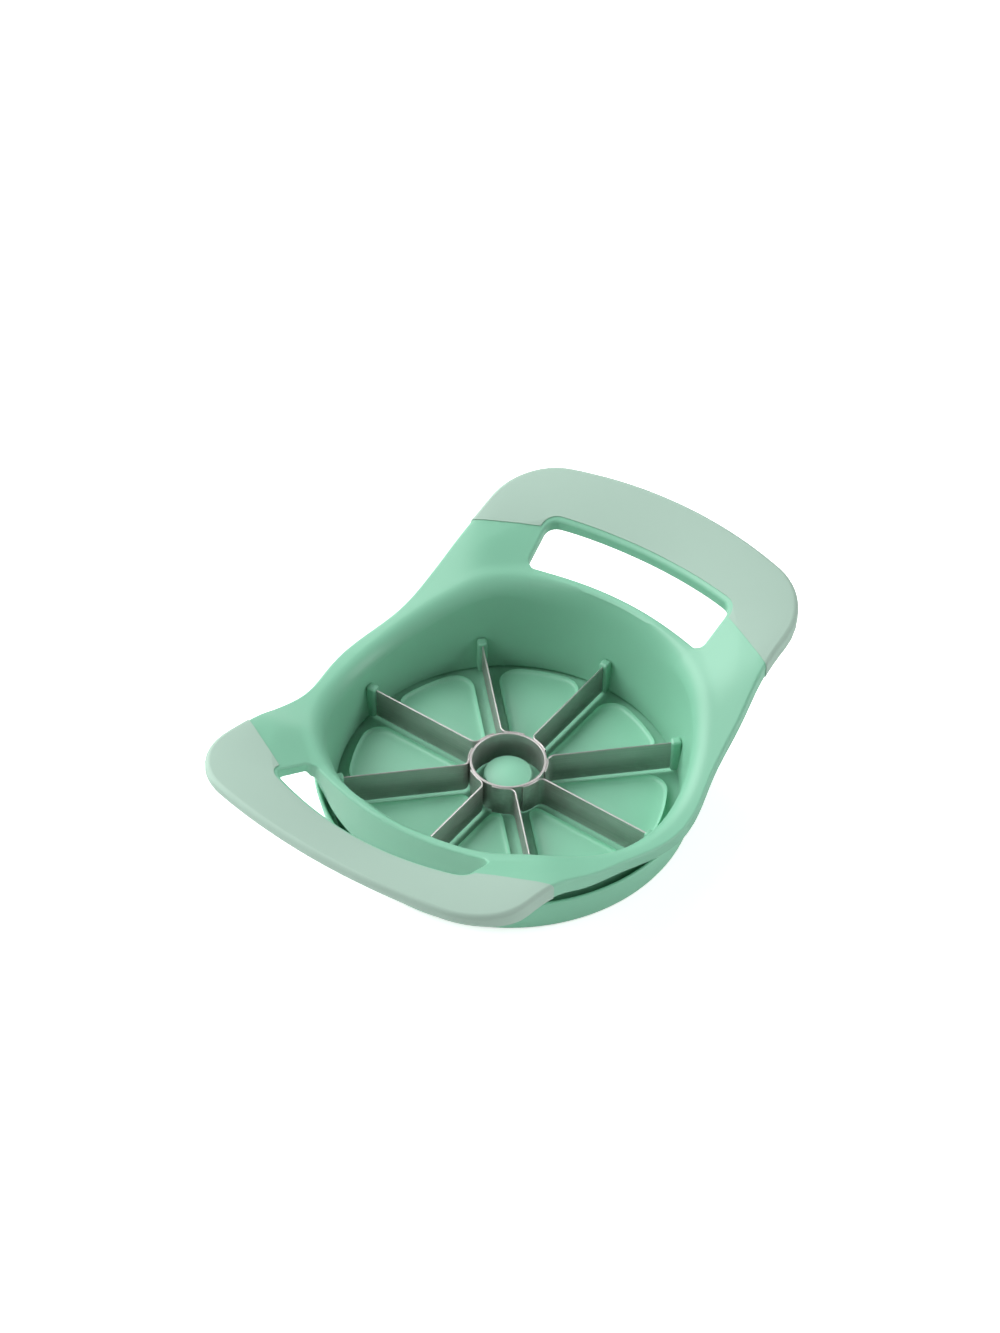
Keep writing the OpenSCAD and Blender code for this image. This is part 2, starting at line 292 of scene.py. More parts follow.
def cup_r(z):
    """Radius of the cup's inner wall, which opens evenly from the foot up."""
    return CUP_FOOT_R + CUP_FLARE * (z - CUP_FOOT_Z) / (top_z(MOUTH_OUT_R) - CUP_FOOT_Z)


def past(k):
    """How far column k lies on the way from the slot's margin to the waist."""
    return (k - MARGIN) / (QUARTER - MARGIN)


print("cup radius at the foot and the rim:", [round(cup_r(z), 1) for z in (CUP_FOOT_Z, RIM_Z)])

# %% [markdown]
# The outline is a bow at the handle's end, a rounded corner and a smooth side that runs in to the
# waist. Its points are laid finely first and then spread evenly, so that the skin gets even faces.

# %% Outline from the handle's end to the waist
HANDLE_X, CORNER_R, END_R = 62.0, 21.0, 160.0
DRAWN_IN, DRAWN_IN_X, DRAWN_IN_L = 1.9, 24, 14
FINE = 60


def outline_quarter():
    """Points from the handle's end to the waist: bow, rounded corner, side."""
    centre = HALF_L - END_R
    corner_y = HANDLE_HALF_W - CORNER_R
    corner_x = centre + math.sqrt((END_R - CORNER_R) ** 2 - corner_y**2)
    turn = math.atan2(corner_y, corner_x - centre)
    points = []
    for i in range(FINE):
        x, y = polar(END_R, turn * i / FINE)
        points.append((centre + x, y))
    for i in range(FINE + 1):
        x, y = polar(CORNER_R, mix(turn, math.pi / 2, i / FINE))
        points.append((corner_x + x, corner_y + y))
    for i in range(2 * FINE + 1):
        t = 1 - i / (2 * FINE)
        drawn_in = DRAWN_IN * math.exp(-((HANDLE_X * t - DRAWN_IN_X) / DRAWN_IN_L) ** 2)
        points.append((HANDLE_X * t, HALF_W + (HANDLE_HALF_W - HALF_W) * ease(t) - drawn_in))
    return points


def spread(points, count):
    """Evenly spaced points along a line of fine points."""
    lengths = [0.0]
    for p, q in zip(points, points[1:]):
        lengths.append(lengths[-1] + math.dist(p, q))
    out, i = [], 0
    for n in range(count + 1):
        want = lengths[-1] * n / count
        while i < len(points) - 2 and lengths[i + 1] < want:
            i += 1
        t = (want - lengths[i]) / max(lengths[i + 1] - lengths[i], 1e-9)
        out.append(mix_places(points[i], points[i + 1], t))
    return out


fine = outline_quarter()
corner = FINE + FINE // 2
OUTLINE = spread(fine[:corner + 1], SLOT_COLUMN) + spread(fine[corner:], QUARTER - SLOT_COLUMN)[1:]


def outline_at(k):
    return OUTLINE[k]


print("outline corners in a quarter:", len(OUTLINE))

# %% [markdown]
# A hand slot lies between a near and a far edge, both slightly bowed, and its corners are rounded.
# Half of each round belongs to the edge and half to the slot's end wall. A lip of frame is left
# outside the slot, so places beyond the rounds are needed too.

# %% Edges and corners of a hand slot
NEAR_X, NEAR_R, NEAR_Y, NEAR_LEAD_Y, NEAR_CORNER_R = 60.3, 96, 33, 28, 2.5
FAR_X, FAR_R, FAR_Y, FAR_LEAD_Y, FAR_CORNER_R = 75.2, 115, 34.7, 29, 4.0
ARC, LIP = 3, 1.5
STRAIGHT = SLOT_COLUMN - ARC


def near_edge(y):
    return NEAR_X - NEAR_R + math.sqrt(NEAR_R**2 - y**2), y


def far_edge(y):
    return FAR_X - FAR_R + math.sqrt(FAR_R**2 - y**2), y


NEAR_CORNER = (near_edge(NEAR_LEAD_Y), near_edge(NEAR_Y), far_edge(FAR_Y), NEAR_CORNER_R)
FAR_CORNER = (far_edge(FAR_LEAD_Y), far_edge(FAR_Y), near_edge(NEAR_Y), FAR_CORNER_R)
NEAR_ARC, FAR_ARC = round_corner(*NEAR_CORNER, 2 * ARC), round_corner(*FAR_CORNER, 2 * ARC)
WALL = NEAR_ARC[ARC + 1:] + FAR_ARC[:ARC:-1]


def beyond_near(t):
    return tuple(beyond_arc(corner_centre(*NEAR_CORNER), NEAR_ARC, t, LIP))


def beyond_far(t):
    return tuple(beyond_arc(corner_centre(*FAR_CORNER), FAR_ARC, t, LIP))


print("corners on a slot's end wall:", len(WALL))

# %% [markdown]
# Past the slot the rings run on over the plate to the waist. They start from places round the slot's
# corner, and over a few columns they settle to a plain share of the way from cup to outline.

# %% Rings in plan
WAIST_R = 62.0
FAR_SHARES, LIP_SHARES, BETWEEN_SHARES = (0.4, 0.24), (0.5, 0.3), (0.5, 0.15)
BETWEEN_COLUMNS = (30, 44)
FAR_START, LIP_STARTS = 3.5, (1, 1.8, 2.5, 3)
WALL_STARTS = [beyond_near(t) for t in (3.8, 5, 6)] + [beyond_far(t) for t in (6, 5, 4.2)]
SETTLE, WALL_SETTLE = 7, 6


def near_at(k):
    if k <= STRAIGHT:
        return near_edge(NEAR_ARC[0].y * k / STRAIGHT)
    if k <= SLOT_COLUMN:
        return tuple(NEAR_ARC[k - STRAIGHT])
    x, y = beyond_near(ARC)
    a = mix(math.atan2(y, x), math.pi / 2, past(k))
    r = WAIST_R + (math.hypot(x, y) - WAIST_R) * (1 - past(k)) ** 2
    return polar(r, a)


def eased_from(start, k, plain, columns=SETTLE):
    """The plain place of column k, drawn towards the place where the margin starts."""
    fade = max(1 - (k - MARGIN) / columns, 0) ** 2
    first = plain(MARGIN)
    return tuple(plain(k)[i] + (start[i] - first[i]) * fade for i in (0, 1))


def part_way(share, share_at_waist):
    """Places on the plate between the near ring and the outline."""
    def plan(k):
        return mix_places(near_at(k), outline_at(k), mix(share, share_at_waist, ease(past(k))))
    return plan


def far_at(k):
    if k <= STRAIGHT:
        return far_edge(FAR_ARC[0].y * k / STRAIGHT)
    if k <= SLOT_COLUMN:
        return tuple(FAR_ARC[k - STRAIGHT])
    return eased_from(beyond_far(FAR_START), k, part_way(*FAR_SHARES))


def lip_at(k):
    """The edge of the soft grip runs a lip's width outside the slot."""
    if k <= STRAIGHT:
        x, y = far_at(k)
        out_x, out_y = polar(LIP, math.atan2(y, x - FAR_X + FAR_R))
        return x + out_x, y + out_y
    if k <= MARGIN:
        return beyond_far(LIP_STARTS[k - STRAIGHT - 1])
    return eased_from(beyond_far(ARC), k, part_way(*LIP_SHARES))


def wall_at(i):
    """Line i of the slot's end wall, on its way from the near edge to the far one."""
    def across(k):
        return mix_places(near_at(k), far_at(k), (i + 1) / (len(WALL) + 1))

    def plan(k):
        if k == SLOT_COLUMN:
            return tuple(WALL[i])
        return across(k) if k < SLOT_COLUMN else eased_from(WALL_STARTS[i], k, across, WALL_SETTLE)
    return plan


def between_at(k):
    """Half way from the lip to the outline, and nearer to the lip at the waist."""
    return mix_places(lip_at(k), outline_at(k), mix(*BETWEEN_SHARES, climb(k, *BETWEEN_COLUMNS)))


print("lip's corner at the handle's middle:", [round(v, 1) for v in lip_at(0)])

# %% [markdown]
# ## Heights of the rings
# The cup's rim is level beside the hand slots. Both handles sink towards it like a funnel, and at the
# waist the rim follows the plate's saddle. A soft minimum rolls these surfaces into one another.

# %% Heights of the top and the underside
FUNNEL_R, FUNNEL_SLOPE, FUNNEL_T = 62.5, 0.6, 3.8
FUNNEL_ROLL, SADDLE_ROLL, UNDER_ROLL = 1.5, 2, 0.6


def soft_min(a, b, width):
    return (a + b - math.sqrt((a - b) ** 2 + width**2)) / 2


def surface_z(x, y):
    """Height of the top: level round the cup's rim, a funnel outside it, and the plate's saddle."""
    out = math.hypot(x, y) - FUNNEL_R
    funnel = RIM_Z + FUNNEL_SLOPE * (out - soft_min(out, 0, FUNNEL_ROLL))
    return soft_min(top_z(x), funnel, SADDLE_ROLL)


def under_z(x, y):
    return soft_min(bottom_z(x), surface_z(x, y) - FUNNEL_T, UNDER_ROLL)


print("top beside a slot and at the waist:", round(surface_z(NEAR_X, 0), 1), round(surface_z(0, HALF_W), 1))

# %% [markdown]
# The cup's wall rolls over into the top. The roll is wide down the wall. On top it is narrow beside
# the slots, where only a thin strip is left, and wide on the plate. One bevel of even width couldn't
# follow this, so the roll is drawn line by line.

# %% The rim's roll
ROLL_STEPS, RIM_TRIES, RIM_START_R = 6, 8, 57.0
ROLL_OUT, ROLL_OUT_COLUMNS, STRIP_SHARE = (1.4, 5.2), (6, 31), 0.8
ROLL_DOWN, ROLL_DOWN_COLUMNS = (9.5, 5.2), (16, 34)


def rim_corner(k):
    """Where the cup's wall would meet the top if the rim were sharp: angle, radius, height."""
    x, y = near_at(k)
    a, r = math.atan2(y, x), RIM_START_R
    for _ in range(RIM_TRIES):
        z = surface_z(*polar(r, a))
        r = cup_r(z)
    return a, r, z


def rim_top(k):
    """Where the rim's roll ends on top, within the strip beside a slot."""
    a, r, _ = rim_corner(k)
    room = math.hypot(*near_at(k)) - r
    r += min(mix(*ROLL_OUT, climb(k, *ROLL_OUT_COLUMNS)), room * STRIP_SHARE)
    return (*polar(r, a), surface_z(*polar(r, a)))


def rim_roll(step):
    """One line of the roll from the cup's wall to the top."""
    def place(k):
        a, r, z = rim_corner(k)
        low = z - mix(*ROLL_DOWN, climb(k, *ROLL_DOWN_COLUMNS))
        wall = (*polar(cup_r(low), a), low)
        return tuple(round_over(wall, (*polar(r, a), z), rim_top(k), step / ROLL_STEPS))
    return place


print("roll at the handle's middle ends at", [round(v, 1) for v in rim_top(0)])

# %% [markdown]
# Under the strip the outside leans in to the cup, and the slot's end wall climbs from there to the
# plate's underside. The cup's outside ends in a ledge over the tray's rim, and its foot goes down
# into the tray.

# %% Lines underneath and down the cup
SKIRT_TOP_R, STRIP_LOW_Z = 60.1, 31.0
LEAN_SHARES, LEAN_COLUMNS, LEAN_FADE = (0.7, 0.15), (14, 24), 8
LOW_COLUMNS, WALL_CLIMB = (23, 27), 0.4
SKIRT_R, LEDGE_R, LEDGE_Z, FOOT_OUT_R = 59.0, 56.6, 17.2, 55.0
WALL_HEIGHTS = (8.0, 14.0)


def near_low_place(k):
    x, y = near_at(k)
    a, r = math.atan2(y, x), math.hypot(x, y)
    if k <= SLOT_COLUMN:
        r = mix(r, SKIRT_TOP_R, mix(*LEAN_SHARES, climb(k, *LEAN_COLUMNS)))
    else:
        slot_end = mix(math.hypot(*near_at(SLOT_COLUMN)), SKIRT_TOP_R, LEAN_SHARES[1])
        r = mix(SKIRT_TOP_R, slot_end, max(1 - (k - SLOT_COLUMN) / LEAN_FADE, 0) ** 2)
    x, y = polar(r, a)
    return x, y, mix(STRIP_LOW_Z, under_z(x, y), climb(k, *LOW_COLUMNS))


def wall_low_place(i):
    def place(k):
        x, y = wall_at(i)(k)
        return x, y, mix(near_low_place(k)[2], under_z(x, y), ease(WALL_CLIMB * (i + 1)))
    return place


def on_top(plan):
    return lambda k: (*plan(k), surface_z(*plan(k)))


def underneath(plan):
    return lambda k: (*plan(k), under_z(*plan(k)))


def round_the_cup(radius, z):
    def place(k):
        x, y = near_at(k)
        return (*polar(radius, math.atan2(y, x)), z)
    return place


def whole_ring(place):
    """Mirrors a quarter's places into the whole ring, as metres."""
    quarter = [place(k) for k in range(QUARTER + 1)]
    ring = []
    for j in range(COLUMNS):
        side, k = divmod(j, QUARTER)
        x, y, z = quarter[k if side in (0, 2) else QUARTER - k]
        sign = [(1, 1), (-1, 1), (-1, -1), (1, -1)][side]
        ring.append(Vector((x * sign[0], y * sign[1], z)) * MM)
    return ring


WALL_LINES = range(len(WALL))
roll_lines = [rim_roll(step) for step in range(ROLL_STEPS + 1)]
slot_lines = [on_top(near_at), *[on_top(wall_at(i)) for i in WALL_LINES], on_top(far_at)]
handle_lines = [on_top(lip_at), on_top(between_at), on_top(outline_at),
                underneath(outline_at), underneath(between_at), underneath(lip_at)]
low_lines = [underneath(far_at), *[wall_low_place(i) for i in reversed(WALL_LINES)], near_low_place]
cup_lines = [round_the_cup(SKIRT_R, LEDGE_Z), round_the_cup(LEDGE_R, LEDGE_Z),
             round_the_cup(FOOT_OUT_R, CUP_FOOT_Z), round_the_cup(CUP_FOOT_R, CUP_FOOT_Z),
             *[round_the_cup(cup_r(z), z) for z in WALL_HEIGHTS]]
lines = roll_lines + slot_lines + handle_lines + low_lines + cup_lines
rings = [whole_ring(place) for place in lines]
NEAR_ROW, LAYERS = len(roll_lines), len(slot_lines)
LOW_ROW = NEAR_ROW + LAYERS + len(handle_lines)
print("rings:", len(rings), "of", COLUMNS, "corners")

# %% [markdown]
# ## Drawing the frame
# A circle is put on the first ring and extruded ring by ring. After each extrusion the new corners
# are moved to the next ring's places, and at the end the last ring is bridged to the first, so the
# moulding is one closed skin. A lathe shape wouldn't do, because no two columns are alike.

# %% Extrude ring after ring
def place_key(co):
    """The place to a thousandth of a millimetre, by which a new corner is found."""
    return tuple(round(c * 1e6) for c in co)


def draw_rings(name, rings):
    clear_selection()
    bpy.ops.mesh.primitive_circle_add(vertices=len(rings[0]), radius=CUP_FOOT_R * MM)
    piece = name_piece(name)
    for v, place in zip(piece.data.vertices, rings[0]):
        v.co = place
    edit_mode()
    bpy.ops.mesh.select_all(action="SELECT")
    numbers = [list(range(len(rings[0])))]
    for before, after in zip(rings, rings[1:]):
        bpy.ops.mesh.extrude_region_move()
        object_mode()
        column = {place_key(p): j for j, p in enumerate(before)}
        row = [0] * len(before)
        for v in piece.data.vertices:
            if v.select:
                j = column[place_key(v.co)]
                v.co = after[j]
                row[j] = v.index
        numbers.append(row)
        edit_mode()
    object_mode()
    return piece, numbers


shell, numbers = draw_rings("frame_shell", rings)
first, last = set(numbers[0]), set(numbers[-1])
pick(shell, "edges", lambda e: set(e.vertices) <= first or set(e.vertices) <= last)
bpy.ops.mesh.bridge_edge_loops()
object_mode()
print("skin:", len(shell.data.polygons), "faces")

# %% [markdown]
# ## Cutting the hand slots
# The faces between the near and far edge of each slot are deleted on top and underneath. Each slot's
# two open loops are then bridged, which gives the slot its wall.

# %% Open and bridge the slots
def normals_by_edge(mesh):
    """Each edge's key to the normals of the faces beside it."""
    found = {}
    for face in mesh.polygons:
        for key in face.edge_keys:
            found.setdefault(key, []).append(face.normal.copy())
    return found


SLOT_COLUMNS = [j for j in range(COLUMNS)
                if min(abs(j - m) for m in (0, 2 * QUARTER, COLUMNS)) <= SLOT_COLUMN]
slot_faces = set()
for first_row in (NEAR_ROW, LOW_ROW):
    inside = {row[j] for row in numbers[first_row:first_row + LAYERS] for j in SLOT_COLUMNS}
    slot_faces |= {f.index for f in shell.data.polygons if set(f.vertices) <= inside}
pick(shell, "polygons", lambda f: f.index in slot_faces)
bpy.ops.mesh.delete(type="FACE")
object_mode()
for side in (1, -1):
    beside = normals_by_edge(shell.data)
    on_side = {v.index for v in shell.data.vertices if v.co.x * side > 0}
    pick(shell, "edges", lambda e: len(beside.get(e.key, ())) == 1 and e.vertices[0] in on_side)
    bpy.ops.mesh.bridge_edge_loops()
    object_mode()
face_outwards(shell)
print("faces cut away:", len(slot_faces), "after the slots:", len(shell.data.polygons), "faces")

# %% [markdown]
# ## Soft edges
# Nothing on the moulding is sharp. Each crease gets its own bevel width as an edge weight: widest
# round the handles' outline, narrower at the waist and round the slots, and least at the cup's foot.
# One bevel modifier then rounds them all.

# %% Weigh and bevel the creases
WIDEST, SHARP = 2.0, 32
FOOT_TOP_Z, FOOT_SIDE_R, STRIP_R = 17.4, 59.5, 62.5
SLOT_START_R, SLOT_NEAR_R, SLOT_END_X, SLOT_SIDE_Y = 58.5, 63, 78.5, 35.5
FOOT_ROUND, WAIST_ROUND, HANDLE_ROUND, HANDLE_STARTS = 0.4, 0.8, 1.4, (53, 60)
NEAR_ROUND, FAR_ROUND, FAR_LOW_ROUND = 0.85, 0.7, 0.9


def crease_angles(mesh):
    """Edge number to the angle between its two faces, in degrees."""
    found = normals_by_edge(mesh)
    angles = {}
    for edge in mesh.edges:
        normals = found.get(edge.key, [])
        if len(normals) == 2:
            angles[edge.index] = math.degrees(normals[0].angle(normals[1], 0))
    return angles


def at_slot(m):
    r = math.hypot(m.x, m.y)
    return r > SLOT_START_R and abs(m.x) < SLOT_END_X and abs(m.y) < SLOT_SIDE_Y


def bevel_width(m):
    """Width of the round at a crease whose middle is m, in millimetres."""
    r = math.hypot(m.x, m.y)
    if m.z < FOOT_TOP_Z and r < FOOT_SIDE_R:
        return FOOT_ROUND
    low = m.z < (surface_z(m.x, m.y) + under_z(m.x, m.y)) / 2
    if at_slot(m):
        if r < SLOT_NEAR_R:
            return NEAR_ROUND
        return FAR_LOW_ROUND if low else FAR_ROUND
    if low and r < STRIP_R:
        return WAIST_ROUND
    return mix(WAIST_ROUND, HANDLE_ROUND, climb(abs(m.x), *HANDLE_STARTS))


mesh = shell.data
weights = [0.0] * len(mesh.edges)
slot_rim = []
for index, angle in crease_angles(mesh).items():
    if angle < SHARP:
        continue
    a, b = (mesh.vertices[i].co / MM for i in mesh.edges[index].vertices)
    m = (a + b) / 2
    weights[index] = bevel_width(m) / WIDEST
    if at_slot(m):
        slot_rim.append((abs(a.x), abs(a.y), abs(b.x), abs(b.y)))
attribute = mesh.attributes.new("bevel_weight_edge", "FLOAT", "EDGE")
attribute.data.foreach_set("value", weights)
apply_modifier(shell, "BEVEL", width=WIDEST * MM, segments=5, limit_method="WEIGHT",
               use_clamp_overlap=False, offset_type="OFFSET")
print("creases:", sum(w > 0 for w in weights), "faces:", len(shell.data.polygons))

# %% [markdown]
# ## Splitting off the soft grips
# The grip is moulded over the handle, and its edge runs straight from the handle's side to the slot's
# corner. The skin is cut along that line with bisect. The grip's faces are copied into a piece of
# their own, and the same faces of the frame are pushed in to make the core under it.

# %% Cut the seams
SEAM_A, SEAM_B = Vector((56.5, HANDLE_HALF_W)), Vector((65.6, 37.6))
ACROSS = Vector((SEAM_A.y - SEAM_B.y, SEAM_B.x - SEAM_A.x)).normalized()
CUT_START_X, CUT_END_X, CUT_IN_Y = 50, 76, 33.5


def near_seam(face, sx, sy):
    x, y = face.center.x * sx / MM, face.center.y * sy / MM
    return CUT_START_X < x < CUT_END_X and y > CUT_IN_Y


for sx in (1, -1):
    for sy in (1, -1):
        pick(shell, "polygons", lambda f: near_seam(f, sx, sy))
        bpy.ops.mesh.bisect(plane_co=(SEAM_A.x * sx * MM, SEAM_A.y * sy * MM, 0),
                            plane_no=(ACROSS.x * sx, ACROSS.y * sy, 0))
object_mode()
print("skin after the cuts:", len(shell.data.polygons), "faces")

# %% [markdown]
# A face belongs to a grip if it lies beyond the seam, or beyond the slot's far edge, and isn't on the
# lip that the frame keeps round the slot.

# %% Tell the grip's faces
GRIP_START_X, GRIP_IN_X, GRIP_SIDE_Y = 56, 66.3, 34
LIP_END_X, LIP_SIDE_Y, LIP_SLACK = 79.5, 39, 0.02


def slot_gap(x, y):
    """Distance in plan from a slot's wall, in millimetres."""
    gaps = []
    for ax, ay, bx, by in slot_rim:
        dx, dy = bx - ax, by - ay
        t = min(max(((x - ax) * dx + (y - ay) * dy) / max(dx * dx + dy * dy, 1e-9), 0), 1)
        gaps.append(math.hypot(ax + dx * t - x, ay + dy * t - y))
    return min(gaps)


def in_grip(face, side):
    x, y = face.center.x * side / MM, abs(face.center.y) / MM
    if x < GRIP_START_X:
        return False
    if x < LIP_END_X and y < LIP_SIDE_Y and slot_gap(x, y) < LIP - LIP_SLACK:
        return False
    return (Vector((x, y)) - SEAM_B).dot(ACROSS) > 0 if y > GRIP_SIDE_Y else x > GRIP_IN_X


print("edges round the slots:", len(slot_rim))

# %% [markdown]
# The grip's skin is moved out a little, so that it stands proud of the frame, and given a thickness.
# The frame's faces under it go in a little deeper than the grip reaches.

# %% Make the grips
GRIP_T, PROUD, CLEARANCE, CORE_DEPTH = 1.1, 0.3, 0.1, 1.155
GRIP_ROUND, GRIP_SHARP = 0.3, 55
grips = {}
for name, side in (("grip_back_skin", 1), ("grip_front_skin", -1)):
    only(shell)
    count = pick(shell, "polygons", lambda f: in_grip(f, side))
    bpy.ops.mesh.duplicate()
    bpy.ops.mesh.separate(type="SELECTED")
    object_mode()
    grip = next(o for o in bpy.context.selected_objects if o is not shell)
    only(grip)
    grip.name = grip.data.name = name
    edit_mode()
    bpy.ops.mesh.select_all(action="SELECT")
    bpy.ops.transform.shrink_fatten(value=PROUD * MM)
    object_mode()
    apply_modifier(grip, "SOLIDIFY", thickness=(GRIP_T + PROUD - CLEARANCE) * MM, offset=-1,
                   use_even_offset=True)
    apply_modifier(grip, "BEVEL", width=GRIP_ROUND * MM, segments=2, limit_method="ANGLE",
                   angle_limit=math.radians(GRIP_SHARP))
    smooth(grip)
    even_shading(grip)
    grips[side] = grip
    only(shell)
    pick(shell, "polygons", lambda f: in_grip(f, side))
    bpy.ops.mesh.extrude_region_shrink_fatten(TRANSFORM_OT_shrink_fatten={"value": -CORE_DEPTH * MM})
    object_mode()
    print(name, "faces:", count)

# %% [markdown]
# ## The blade posts
# Eight small posts on the cup's wall hold the outer ends of the blades. One is modelled from a block
# with rounded edges, copied round the cup, and joined to the frame, because all of it is one moulding.

# %% Model a post and copy it
POST_W, POST_IN, POST_OUT, POST_TOP, POST_ROUND = 3.2, 51.3, 54.6, 14.6, 0.9
post_middle = Vector(((POST_IN + POST_OUT) / 2, 0, (POST_TOP + CUP_FOOT_Z) / 2)) * MM
clear_selection()
bpy.ops.mesh.primitive_cube_add(size=1, location=post_middle)
post = name_piece("post_1")
post.scale = Vector((POST_OUT - POST_IN, POST_W, POST_TOP - CUP_FOOT_Z)) * MM
settle(post)
apply_modifier(post, "BEVEL", width=POST_ROUND * MM, segments=4, limit_method="ANGLE")
smooth(post, degrees=40)
smooth(shell)
join(shell, eight_round(post, "post"))
even_shading(shell)
print("frame_shell faces:", len(shell.data.polygons))

# %% [markdown]
# ## Drawing profiles
# The tray, the core ring and a blade all start as a section. A plane is merged to one corner, which is
# extruded from point to point, like a pen drawn over paper. A round piece's section is then spun.

# %% Profile helper
def draw_profile(name, points, closed=False):
    """Draws a line through points in millimetres and leaves it selected in edit mode."""
    clear_selection()
    bpy.ops.mesh.primitive_plane_add(size=MM)
    piece = name_piece(name)
    edit_mode()
    bpy.ops.mesh.select_all(action="SELECT")
    bpy.ops.mesh.merge(type="CENTER")
    here = Vector((0, 0, 0))
    for i, point in enumerate([Vector(p) for p in points]):
        if i == 0:
            bpy.ops.transform.translate(value=point * MM)
        else:
            bpy.ops.mesh.extrude_region_move(TRANSFORM_OT_translate={"value": (point - here) * MM})
        here = point
    bpy.ops.mesh.select_all(action="SELECT")
    if closed:
        bpy.ops.mesh.edge_face_add()
    return piece


def arc(cx, cz, r, start, end, steps=5):
    """Points (x, 0, z) of an arc of a section, between two angles in degrees."""
    points = []
    for i in range(steps + 1):
        x, z = polar(r, math.radians(mix(start, end, i / steps)))
        points.append((cx + x, 0, cz + z))
    return points


def lathe(piece, steps):
    """Spins the section in edit mode once round the upright axis."""
    bpy.ops.mesh.spin(steps=steps, angle=2 * math.pi, center=(0, 0, 0), axis=(0, 0, 1))
    face_outwards(piece)


# %% [markdown]
# ## The tray
# A shallow round dish with a rolled rim. Its floor carries eight raised pads that push the wedges
# through the blades, and a plug that pushes out the core. A cylinder could be hollowed for the dish,
# but a spun section gives its rolled rim and round heel as well.

# %% Turn the tray's dish
TRAY_H, TRAY_R, TRAY_FLOOR, RIM_ROUND = 13.5, 60.2, 1.4, 0.6
HEEL_R, HEEL_ROUND, FLAT_R, BED_R, BED_ROUND = 58.1, 2.4, 50, 56.4, 1.5
dish = ([(0, 0, 0), (FLAT_R, 0, 0)] + arc(HEEL_R - HEEL_ROUND, HEEL_ROUND, HEEL_ROUND, -90, 0)
        + arc(TRAY_R - RIM_ROUND, TRAY_H - RIM_ROUND, RIM_ROUND, 0, 180, 8)
        + arc(BED_R - BED_ROUND, TRAY_FLOOR + BED_ROUND, BED_ROUND, 0, -90) + [(0, 0, TRAY_FLOOR)])
tray = draw_profile("tray_dish", dish)
lathe(tray, 160)
smooth(tray, degrees=40)
print("tray_dish faces:", len(tray.data.polygons))

# %% [markdown]
# The plug is a short round button with a rounded edge and a slight crown, so it is spun too. The plug
# and the pads start inside the tray's floor, and the three are joined, because they are one moulding.

# %% Turn the plug
SUNK_Z = 1.0
PLUG_R, PLUG_ROUND, PLUG_SHOULDER_Z = 7.6, 0.7, 7.4
PLUG_CROWN = ((5.0, 8.5), (2.5, 8.85), (0, 9.0))
plug_line = ([(PLUG_R, 0, SUNK_Z)] + arc(PLUG_R - PLUG_ROUND, PLUG_SHOULDER_Z, PLUG_ROUND, 0, 80, 4)
             + [(x, 0, z) for x, z in PLUG_CROWN])
plug = draw_profile("core_plug", plug_line)
lathe(plug, 96)
smooth(plug, degrees=40)
print("core_plug faces:", len(plug.data.polygons))

# %% [markdown]
# A pad is a wedge with rounded corners. Its outline is extruded up to a thin edge. The top is then
# inset in small steps that sink in a hollow curve behind the edge, and last scaled in and lifted to
# give it a slight crown. An inset moves along the face's normal, so the face has to point up first.

# %% Outline of a pad
PAD_R, GROOVE, TIP_R, PAD_CORNER_R = 49.6, 8.2, 2.4, 6.0
BOW_STEPS, TIP_STEPS, TRIM = 12, 5, 3


def pad_outline():
    """Corners of a wedge between two grooves, with its outer corners and its tip rounded."""
    half_groove, half_pitch = GROOVE / 2, math.radians(PITCH / 2)
    tip = Vector(polar(half_groove / math.sin(half_pitch), half_pitch))
    low = math.asin(half_groove / PAD_R)
    turns = [mix(low, 2 * half_pitch - low, i / BOW_STEPS) for i in range(BOW_STEPS + 1)]
    bow = [Vector(polar(PAD_R, a)) for a in turns]
    corner_in = round_corner(tip, bow[0], bow[TRIM], PAD_CORNER_R)
    corner_out = round_corner(bow[-TRIM - 1], bow[-1], tip, PAD_CORNER_R)
    return corner_in + bow[TRIM:-TRIM] + corner_out + round_corner(bow[-1], tip, bow[0], TIP_R, TIP_STEPS)


outline = pad_outline()
print("corners round a pad:", len(outline))

# %% Model one pad and copy it
PAD_WALL, PAD_HOLLOW, PAD_STEPS, PAD_MIDDLE_R = 3.8, 1.3, 5, 31.5
PAD_CROWN = ((0.84, 0.22), (0.78, 0.16), (0.68, 0.1), (0.45, 0.05))
clear_selection()
bpy.ops.mesh.primitive_circle_add(vertices=len(outline), radius=PAD_R * MM, fill_type="NGON")
pad = name_piece("pad_1")
for v, p in zip(pad.data.vertices, outline):
    v.co = (p.x * MM, p.y * MM, SUNK_Z * MM)
pad.data.update()
upside_down = pad.data.polygons[0].normal.z < 0
edit_mode("FACE")
bpy.ops.mesh.select_all(action="SELECT")
if upside_down:
    bpy.ops.mesh.flip_normals()
bpy.ops.mesh.extrude_region_move(TRANSFORM_OT_translate={"value": (0, 0, PAD_WALL * MM)})
for i in range(PAD_STEPS):
    a, b = (math.radians(90 * n / PAD_STEPS) for n in (i, i + 1))
    bpy.ops.mesh.inset(thickness=PAD_HOLLOW * (math.cos(a) - math.cos(b)) * MM,
                       depth=PAD_HOLLOW * (math.sin(a) - math.sin(b)) * MM)
pad_middle = Vector((*polar(PAD_MIDDLE_R, math.radians(PITCH / 2)), 0)) * MM
for shrink, rise in PAD_CROWN:
    bpy.ops.mesh.extrude_region_move(TRANSFORM_OT_translate={"value": (0, 0, rise * MM)})
    bpy.ops.transform.resize(value=(shrink, shrink, 1), center_override=pad_middle)
bpy.ops.mesh.poke()
object_mode()
